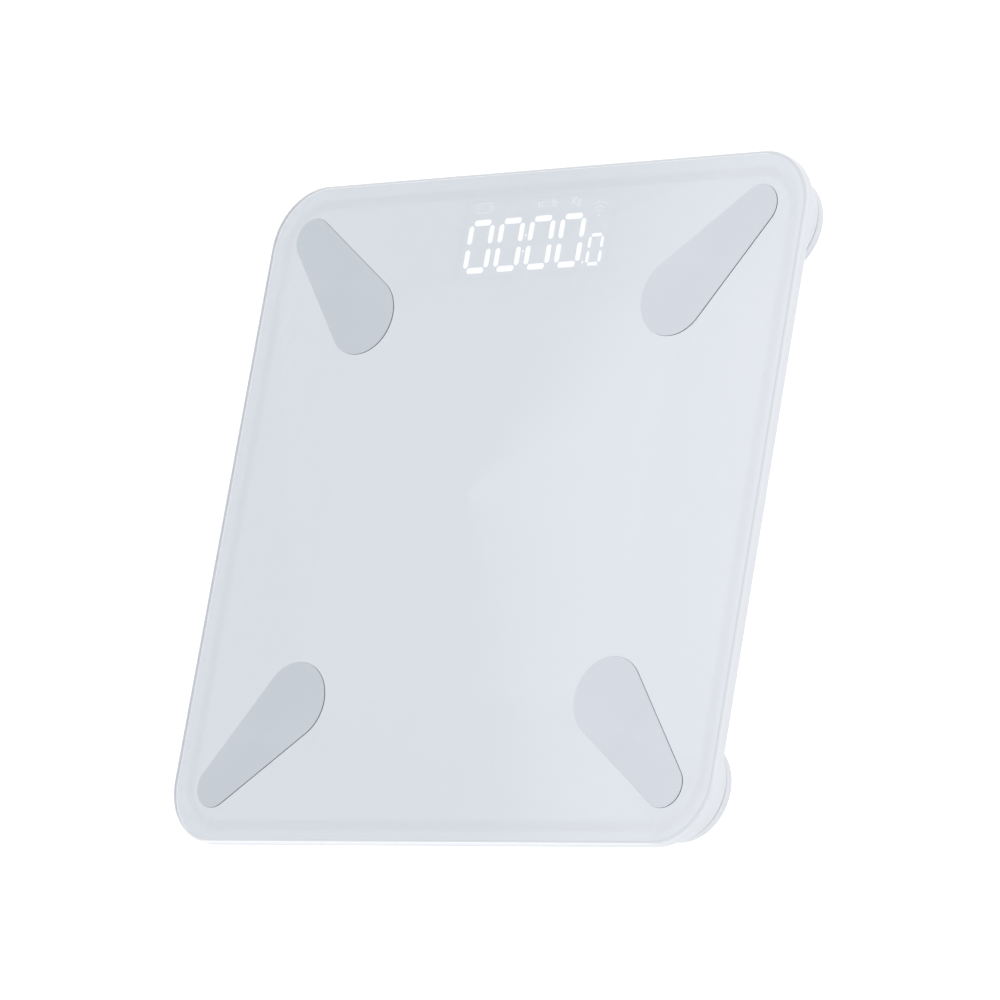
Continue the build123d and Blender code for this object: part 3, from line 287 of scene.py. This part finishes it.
def upright_edge_finish():
    """Ground band between the two rounds, unpolished, with the faint marks of the wheel along it."""
    finish, tree, shader = new_finish("ground_side", EDGE_SIDE, 0.5)
    marks = noise(tree, 1.0, 3.0, stretched(tree, (300.0, 300.0, 5200.0)))
    tint(tree, shader, marks, tuple(0.97 * c for c in EDGE_SIDE), EDGE_SIDE)
    bump(tree, shader, marks, 3e-6)
    tree.links.new(spread(tree, marks, 0.45, 0.6), shader.inputs["Roughness"])
    shader.inputs["Specular IOR Level"].default_value = 0.2
    let_light_in(tree, shader)
    return finish


EDGE_BEGIN = (0.69, 0.715, 0.755)
EDGE_ROUND = (0.73, 0.755, 0.795)
EDGE_SIDE = (0.69, 0.712, 0.75)
sheet = nodes["glass_platform"].data
sheet.materials.append(round_edge_finish())
sheet.materials.append(upright_edge_finish())
for face in sheet.polygons:
    lean = abs(face.normal.z)
    if lean > FLAT_LEAN:
        face.material_index = FLAT_SLOT
    elif lean > ROUND_LEAN:
        face.material_index = ROUND_SLOT
    else:
        face.material_index = UPRIGHT_SLOT
upright_faces = sum(face.material_index == UPRIGHT_SLOT for face in sheet.polygons)
print("faces of the sheet:", len(sheet.polygons), "upright:", upright_faces)

# %% [markdown]
# ## Silver-white print
# The colour of the scale is ink on a film under the glass.  Over the ink lies a painted sheen: a fan of
# paler colour round a point near the middle, a brightness for each direction round that point, stronger
# further out.  It stands in for the glint of a pearl ink and a reflection of a brighter side of the room.
# So it is fixed to the part and doesn't change when a lamp moves, as a real sheen would.  It is palest
# to the right, and the palest colour reflects up to a seventh more than the darkest ink.

# %% Print finish
FAN_CENTRE = (-12.0 * MM, 5.0 * MM, 0.0)
FAN_REACH = 165.0 * MM
FAN_AT_CENTRE = 0.28
PRINT_DARK = (0.777, 0.815, 0.868)
PRINT_SHEEN = (0.885, 0.903, 0.963)
# Painted sheen: how much each direction round the centre pales the ink.
SHEEN_FAN_STOPS = (
    (0.00, 0.20), (0.28, 0.02), (0.34, 0.55), (0.50, 1.20), (0.60, 0.90), (0.70, 0.02), (0.80, 0.15),
)


def polar(tree, centre):
    """Direction round a point as 0 to 1 from the left, and the distance from it in metres."""
    offset = add_node(tree, "VectorMath", operation="SUBTRACT")
    offset.inputs[1].default_value = centre
    tree.links.new(place_of(tree), offset.inputs[0])
    split = add_node(tree, "SeparateXYZ")
    tree.links.new(offset.outputs[0], split.inputs[0])
    angle = add_node(tree, "Math", operation="ARCTAN2")
    tree.links.new(split.outputs["Y"], angle.inputs[0])
    tree.links.new(split.outputs["X"], angle.inputs[1])
    length = add_node(tree, "VectorMath", operation="LENGTH")
    tree.links.new(offset.outputs[0], length.inputs[0])
    return across(tree, angle.outputs[0], -pi, pi), length.outputs["Value"]


def print_finish():
    """Pearl ink, paler in a painted fan of sheen."""
    finish, tree, shader = new_finish("silver_print", PRINT_DARK, 0.38)
    direction, distance = polar(tree, FAN_CENTRE)
    fan = add_node(tree, "ValToRGB")
    fan.color_ramp.interpolation = "B_SPLINE"
    first, last = fan.color_ramp.elements
    first.position, first.color = 0.0, (SHEEN_FAN_STOPS[0][1],) * 3 + (1.0,)
    last.position, last.color = 1.0, (SHEEN_FAN_STOPS[0][1],) * 3 + (1.0,)
    for place, level in SHEEN_FAN_STOPS[1:]:
        fan.color_ramp.elements.new(place).color = (level, level, level, 1.0)
    tree.links.new(direction, fan.inputs["Fac"])
    strength = add_node(tree, "Math", operation="MULTIPLY")
    tree.links.new(fan.outputs["Color"], strength.inputs[0])
    tree.links.new(across(tree, distance, 0.0, FAN_REACH, FAN_AT_CENTRE, 1.0), strength.inputs[1])
    # Painted sheen: the ink pales towards the lighter tint where the fan is strong.
    tint(tree, shader, strength.outputs[0], PRINT_DARK, PRINT_SHEEN)
    flakes = noise(tree, 9000.0, 1.0)
    tree.links.new(spread(tree, flakes, 0.34, 0.42), shader.inputs["Roughness"])
    return finish


wear(print_finish(), "backing_film")

# %% [markdown]
# ## Satin steel electrodes
# The four teardrops are stamped from thin stainless sheet with a fine brushed face.  Brushing is
# noise squeezed across the grain: it varies the roughness and leaves hair-fine relief.  The side wall
# and the lower half of the round of each plate are painted near black, a painted shade that draws a
# thin line round each plate.  The two right plates are paler by a painted reflection, as if they
# mirrored a brighter side of a room: the colour is graded across the scale, and it stays as it is when a
# lamp moves.

# %% Electrode finish
# Painted reflection: the steel runs from the first tint on the left to the second on the right.
STEEL_SHADE = (0.694, 0.746, 0.811)
STEEL_PAINTED_REFLECTION = (0.808, 0.846, 0.924)
# Painted shade: near black on each plate's side wall and the lower half of its round.
EDGE_PAINTED_SHADE = (0.06, 0.07, 0.09)
GRADE_HALF = 60.0 * MM        # the steel grades from shade to bright over this, each side of the middle
EDGE_DARK_BELOW = 0.06 * MM   # below the top face, all dark
EDGE_BRIGHT_ABOVE = 0.03 * MM
HAIR_STRENGTH = 0.04
steel_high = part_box("electrode_rear_left")[1]


def blend_colours(tree, share, first, second):
    """Mixes two colours, each a socket or a plain colour."""
    mix = add_node(tree, "Mix")
    mix.data_type = "RGBA"
    tree.links.new(share, mix.inputs["Factor"])
    for name, colour in (("A", first), ("B", second)):
        socket = [s for s in mix.inputs if s.name == name and s.type == "RGBA"][0]
        if isinstance(colour, tuple):
            socket.default_value = (*colour, 1.0)
        else:
            tree.links.new(colour, socket)
    return [s for s in mix.outputs if s.type == "RGBA"][0]


def electrode_finish():
    """Brushed steel with a painted shade on its sheared edge and a painted reflection graded across the
    scale.
    """
    finish, tree, shader = new_finish("electrode_steel", STEEL_SHADE, 0.42, 1.0)
    split = add_node(tree, "SeparateXYZ")
    tree.links.new(place_of(tree), split.inputs[0])
    side = across(tree, split.outputs["X"], -GRADE_HALF, GRADE_HALF)
    face = blend_colours(tree, side, STEEL_SHADE, STEEL_PAINTED_REFLECTION)
    grain = noise(tree, 1.0, 4.0, stretched(tree, (60.0, 2600.0, 60.0)))
    hairs = add_node(tree, "Mix")
    hairs.data_type = "RGBA"
    hairs.blend_type = "MULTIPLY"
    hairs.inputs["Factor"].default_value = HAIR_STRENGTH
    tree.links.new(face, [s for s in hairs.inputs if s.name == "A" and s.type == "RGBA"][0])
    tree.links.new(grain, [s for s in hairs.inputs if s.name == "B" and s.type == "RGBA"][0])
    brushed = [s for s in hairs.outputs if s.type == "RGBA"][0]
    # Painted shade on the side wall, below the top face.
    dark, bright = steel_high.z - EDGE_DARK_BELOW, steel_high.z - EDGE_BRIGHT_ABOVE
    top = across(tree, split.outputs["Z"], dark, bright)
    coloured = blend_colours(tree, top, EDGE_PAINTED_SHADE, brushed)
    tree.links.new(coloured, shader.inputs["Base Color"])
    bump(tree, shader, grain, 4e-7)
    tree.links.new(spread(tree, grain, 0.36, 0.48), shader.inputs["Roughness"])
    shader.inputs["Anisotropic"].default_value = 0.4
    return finish


electrodes = [*named("electrode_front"), *named("electrode_rear")]
wear(electrode_finish(), *electrodes)

# %% [markdown]
# ## Plates that leave the print clean
# Light falls on the print through five millimetres of glass, so each plate would wrap itself in a
# broad soft shadow.  The plates are told to hold no light back from what lies below them.  Real plates
# do cast a soft shadow, and this leaves it out.

# %% Soften the plates' shadows
for name in electrodes:
    nodes[name].visible_shadow = False
    nodes[name].visible_diffuse = False
print("plates without a shadow:", len(electrodes))

# %% [markdown]
# ## White plastics
# Tray, door and feet are moulded ABS.  The tray has the fine spark texture of an eroded mould, the
# feet are smoother.  One recipe with a different depth of grain gives both, and serves the rubber,
# foam, foil and resin too.

# %% Plastic finishes
def moulded_plastic(name, colour, roughness, cells, depth):
    finish, tree, shader = new_finish(name, colour, roughness)
    grain = noise(tree, cells, 2.0)
    bump(tree, shader, grain, depth)
    drift = noise(tree, 14.0, 1.0)
    darker = tuple(0.975 * c for c in colour)
    tint(tree, shader, drift, darker, colour)
    tree.links.new(spread(tree, grain, roughness - 0.05, roughness + 0.05), shader.inputs["Roughness"])
    return finish


tray_finish = moulded_plastic("tray_plastic", (0.67, 0.69, 0.72), 0.48, 2600.0, 2e-5)
foot_finish = moulded_plastic("foot_plastic", (0.66, 0.68, 0.71), 0.42, 1400.0, 6e-6)
wear(tray_finish, "base_tray", "battery_door")
wear(foot_finish, *named("foot_cup"))
wear(moulded_plastic("retainer_plastic", (0.78, 0.78, 0.76), 0.45, 900.0, 8e-6),
     *named("load_cell_retainer"))
wear(moulded_plastic("button_plastic", (0.46, 0.49, 0.53), 0.40, 1500.0, 8e-6),
     "unit_button", "unit_switch_plunger")
wear(moulded_plastic("module_plastic", (0.80, 0.81, 0.82), 0.50, 900.0, 8e-6), "display_module")
wear(moulded_plastic("pad_rubber", (0.34, 0.36, 0.38), 0.75, 3200.0, 3e-5), *named("foot_pad"))
wear(moulded_plastic("foam_tape", (0.80, 0.80, 0.78), 0.90, 2200.0, 6e-5),
     "platform_tape", "display_gasket", "battery_door_foam")
wear(moulded_plastic("label_foil", (0.66, 0.68, 0.70), 0.35, 600.0, 2e-6), "blank_label")
wear(moulded_plastic("gauge_resin", (0.84, 0.84, 0.80), 0.25, 500.0, 3e-5), "strain_gauges")
wear(moulded_plastic("chip_resin", (0.03, 0.03, 0.035), 0.55, 1800.0, 1e-5), "board_chips", "unit_switch")

# %% [markdown]
# ## Metal inside the tray
# Load cells, nuts, screws and battery contacts are plated or plain steel.  One recipe gives them a
# metal with faint blotches in its gloss.

# %% Metal finishes
def small_metal(name, colour, roughness):
    finish, tree, shader = new_finish(name, colour, roughness, 1.0)
    blotch = noise(tree, 260.0, 4.0)
    tint(tree, shader, blotch, tuple(0.9 * c for c in colour), colour)
    tree.links.new(spread(tree, blotch, roughness - 0.08, roughness + 0.08), shader.inputs["Roughness"])
    return finish


wear(small_metal("load_cell_steel", (0.50, 0.50, 0.49), 0.38), *named("load_cell_plate"))
wear(small_metal("nickel_steel", (0.66, 0.65, 0.62), 0.25),
     "electrode_nuts", "retainer_screws", "board_screws", "battery_contacts", "battery_springs")
wear(small_metal("tinned_brass", (0.68, 0.65, 0.56), 0.32), "electrode_tags")
wear(small_metal("shield_tin", (0.62, 0.63, 0.64), 0.30), "radio_module")

# %% [markdown]
# ## Board, leads and cells
# The circuit board is green lacquer over glass cloth, whose weave just shows.  Each lead takes one
# of a few colours by chance.  The cells wear a plain shrink sleeve with a bare button.

# %% Board, lead and cell finishes
def board_finish():
    finish, tree, shader = new_finish("board_laminate", (0.02, 0.14, 0.05), 0.30)
    weave = add_node(tree, "TexChecker", scale=900.0)
    tree.links.new(place_of(tree), weave.inputs["Vector"])
    bump(tree, shader, weave.outputs["Fac"], 4e-6)
    tint(tree, shader, noise(tree, 180.0), (0.015, 0.11, 0.04), (0.03, 0.18, 0.07))
    return finish


def lead_finish():
    finish, tree, shader = new_finish("lead_insulation", (0.7, 0.7, 0.7), 0.42)
    chance = add_node(tree, "NewGeometry").outputs["Random Per Island"]
    ramp = tint(tree, shader, chance, (0.55, 0.03, 0.03), (0.03, 0.03, 0.03))
    ramp.color_ramp.interpolation = "CONSTANT"
    for place, colour in ((0.3, (0.75, 0.75, 0.73, 1.0)), (0.65, (0.62, 0.50, 0.05, 1.0))):
        ramp.color_ramp.elements.new(place).color = colour
    return finish


def cell_finish():
    finish, tree, shader = new_finish("cell_wrap", (0.07, 0.09, 0.12), 0.28)
    tint(tree, shader, noise(tree, 40.0), (0.06, 0.08, 0.11), (0.09, 0.11, 0.15))
    return finish


wear(board_finish(), "main_board")
wear(lead_finish(), *named("load_cell_leads"), "electrode_leads", "battery_leads")
wear(cell_finish(), *named("battery_cell"))

# %% [markdown]
# ## Light of the display
# The display hides under the print and shows only where it is lit.  On the module the lit lenses
# glow.  What the eye sees is their light on the film, so each lit lens gets a thin bright patch at
# the underside of the glass, cut to the lens's own outline.

# %% Lit lenses and their patches on the print
DISPLAY_GLOW = 0.60
ICON_GLOW = 0.45
PATCH_LIFT = 0.03 * MM
MOTTLE = 0.03
UPWARD = 0.9
TOP_SLACK = 1e-6
patch_height = glass_low.z + PATCH_LIFT


def glow_finish(name, strength):
    """A light with the faint mottle of a diffuser."""
    finish, tree, shader = new_finish(name, (0.45, 0.46, 0.47), 0.4)
    shader.inputs["Emission Color"].default_value = (1.0, 1.0, 1.0, 1.0)
    mottle = noise(tree, 1200.0, 2.0)
    glow = spread(tree, mottle, (1 - MOTTLE) * strength, (1 + MOTTLE) * strength)
    tree.links.new(glow, shader.inputs["Emission Strength"])
    return finish


wear(glow_finish("lit_segment", 1.0), "display_segments_lit", "display_icon_cells")
wear(moulded_plastic("unlit_segment", (0.60, 0.62, 0.64), 0.3, 700.0, 4e-6), "display_segments_off")
digit_light = glow_finish("digit_light", DISPLAY_GLOW)
icon_light = glow_finish("icon_light", ICON_GLOW)


def flat_piece(name, mesh, finish):
    """A flat mesh on the print, as a piece that rides with the tray."""
    piece = bpy.data.objects.new(name, mesh)
    bpy.context.scene.collection.objects.link(piece)
    mesh.materials.clear()
    mesh.materials.append(finish)
    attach(piece, "root")
    print(name, len(mesh.polygons), "faces")
    return piece


def patches_over(node):
    """The upward faces of a node, laid flat at the patch height."""
    mesh = nodes[node].data.copy()
    work = bmesh.new()
    work.from_mesh(mesh)
    work.normal_update()
    top = max(v.co.z for v in work.verts)
    low_z = top - TOP_SLACK
    lower = [f for f in work.faces if f.normal.z < UPWARD or f.calc_center_median().z < low_z]
    bmesh.ops.delete(work, geom=lower, context="FACES")
    for vert in work.verts:
        vert.co.z = patch_height
    work.to_mesh(mesh)
    work.free()
    return mesh


flat_piece("display_light_digits", patches_over("display_segments_lit"), digit_light)

# %% [markdown]
# ## Signs above the digits
# Four small signs are cut in the mask over the icon cells: how full the cells are, the two choices
# of unit, and the radio link, drawn here as a plain dot with three waves.  Each stroke is a narrow
# band of faces.  The letters of the units come from Blender's own typeface, turned into a mesh.

# %% Signs above the digits
STROKE = 0.32 * MM
row_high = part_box("display_icon_cells")[1]
row_y = row_high.y - 2.4 * MM
digits_low, digits_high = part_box("display_segments_lit")
BATTERY_X = digits_low.x + 6.4 * MM
STONES_X = digits_low.x + 42.2 * MM
KILOS_X = digits_low.x + 58.3 * MM
RADIO_X = digits_high.x - 5.2 * MM
RADIO_DROP = 4.0 * MM
LETTER_H = 5.2 * MM


def band(points, width, closed=False):
    """Quads along a line of points."""
    count = len(points)
    edges = []
    for i, point in enumerate(points):
        before = points[(i - 1) % count] if closed or i else point
        after = points[(i + 1) % count] if closed or i < count - 1 else point
        along = (Vector(after) - Vector(before)).normalized()
        aside = Vector((-along.y, along.x)) * width / 2
        edges.append((Vector(point) + aside, Vector(point) - aside))
    spans = range(count if closed else count - 1)
    return [[edges[i][1], edges[(i + 1) % count][1], edges[(i + 1) % count][0], edges[i][0]] for i in spans]


def arc(x, y, radius, start, end, steps=16):
    """Points along a circular arc, its angles in degrees."""
    turns = [radians(start + (end - start) * i / steps) for i in range(steps + 1)]
    return [(x + radius * cos(t), y + radius * sin(t)) for t in turns]


def mesh_of(name, faces):
    """A flat mesh at the patch height from lists of plane points."""
    work = bmesh.new()
    for face in faces:
        work.faces.new([work.verts.new((p[0], p[1], patch_height)) for p in face])
    bmesh.ops.remove_doubles(work, verts=work.verts, dist=1e-6)
    bmesh.ops.recalc_face_normals(work, faces=work.faces)
    mesh = bpy.data.meshes.new(name)
    work.to_mesh(mesh)
    work.free()
    return mesh


def round_box(x, y, width, height, radius):
    """Closed outline of a box with round corners."""
    points = []
    for sx, sy, start in ((1, 1, 0), (-1, 1, 90), (-1, -1, 180), (1, -1, 270)):
        corner = (x + sx * (width / 2 - radius), y + sy * (height / 2 - radius))
        points += arc(*corner, radius, start, start + 90, 5)
    return points


def battery_sign(x, y):
    case = band(round_box(x, y, 8.4 * MM, 4.2 * MM, 0.7 * MM), STROKE, closed=True)
    nub = band([(x + 4.8 * MM, y - 0.8 * MM), (x + 4.8 * MM, y + 0.8 * MM)], STROKE)
    charge = band([(x - 2.6 * MM, y - 1.0 * MM), (x - 2.6 * MM, y + 1.0 * MM)], 1.3 * STROKE)
    return case + nub + charge


def radio_sign(x, y):
    faces = [arc(x, y - 3.2 * MM, 0.55 * MM, 0, 345, 15)]
    for radius in (2.2, 4.2, 6.2):
        faces += band(arc(x, y - 3.2 * MM, radius * MM, 52, 128), STROKE)
    return faces


def letters(text, x, y, height):
    """Letters centred on a point, as a flat mesh."""
    curve = bpy.data.curves.new("letters", "FONT")
    curve.body = text
    curve.size = height
    curve.offset = -0.006 * height
    curve.align_x = "CENTER"
    curve.align_y = "CENTER"
    holder = bpy.data.objects.new("letters", curve)
    bpy.context.scene.collection.objects.link(holder)
    mesh = bpy.data.meshes.new_from_object(holder.evaluated_get(bpy.context.evaluated_depsgraph_get()))
    bpy.data.objects.remove(holder)
    bpy.data.curves.remove(curve)
    mesh.transform(Matrix.Translation((x, y, patch_height)))
    return mesh


signs = battery_sign(BATTERY_X, row_y) + radio_sign(RADIO_X, row_y - RADIO_DROP)
flat_piece("display_light_signs", mesh_of("display_light_signs", signs), icon_light)
flat_piece("display_light_stones", letters("st : lb", STONES_X, row_y, LETTER_H), icon_light)
flat_piece("display_light_kilos", letters("Kg", KILOS_X, row_y, LETTER_H), icon_light)

# %% [markdown]
# ## Floor and lights
# A pale floor that is lit a little from within stays white and takes only a breath of shadow.  It hides
# the underside of the scale from a camera below.

# %% Floor
FLOOR_HALF = 6.0
FLOOR_GLOW = 0.5


def add_floor():
    mesh = bpy.data.meshes.new("studio_floor")
    corners = [(x * FLOOR_HALF, y * FLOOR_HALF, 0.0) for x, y in ((-1, -1), (1, -1), (1, 1), (-1, 1))]
    mesh.from_pydata(corners, [], [(0, 1, 2, 3)])
    floor = bpy.data.objects.new("studio_floor", mesh)
    bpy.context.scene.collection.objects.link(floor)
    finish, tree, shader = new_finish("studio_floor", (0.9, 0.9, 0.9), 0.9)
    shader.inputs["Specular IOR Level"].default_value = 0.0
    shader.inputs["Emission Color"].default_value = (1.0, 1.0, 1.0, 1.0)
    shader.inputs["Emission Strength"].default_value = FLOOR_GLOW
    mesh.materials.append(finish)
    return floor


floor = add_floor()
print(floor.name, "reaches", FLOOR_HALF, "m each way")

# %% [markdown]
# ## Room and lamps
# The room is an even white, which gives most of the light.  Two broad lamps, one to the right and one
# low at the front left, are weak and add to the highlights on the rim.  The grading of plate and
# steel from left to right is mostly a painted sheen and reflection in their colours, and not made by these
# lamps.

# %% Room and lamps
ROOM_WHITE = 0.85


def add_lamp(name, place, target, size, power):
    """A square soft lamp at a place, facing a target."""
    data = bpy.data.lights.new(name, "AREA")
    data.shape = "SQUARE"
    data.size = size
    data.energy = power
    lamp = bpy.data.objects.new(name, data)
    bpy.context.scene.collection.objects.link(lamp)
    lamp.location = place
    lamp.rotation_euler = (Vector(target) - Vector(place)).to_track_quat("-Z", "Y").to_euler()
    return lamp


def white_room(strength):
    world = bpy.data.worlds.new("white_room")
    world.use_nodes = True
    back = world.node_tree.nodes["Background"]
    back.inputs["Color"].default_value = (1.0, 1.0, 1.0, 1.0)
    back.inputs["Strength"].default_value = strength
    bpy.context.scene.world = world


white_room(ROOM_WHITE)
add_lamp("right_softbox", (1.6, 0.4, 1.3), (0.0, 0.0, 0.0), 1.2, 4.0)
add_lamp("rim_softbox", (-1.63, -1.80, 0.60), (0.0, -0.10, 0.0), 1.0, 9.0)
bpy.context.scene.view_settings.view_transform = "Standard"
bpy.context.scene.view_settings.look = "None"
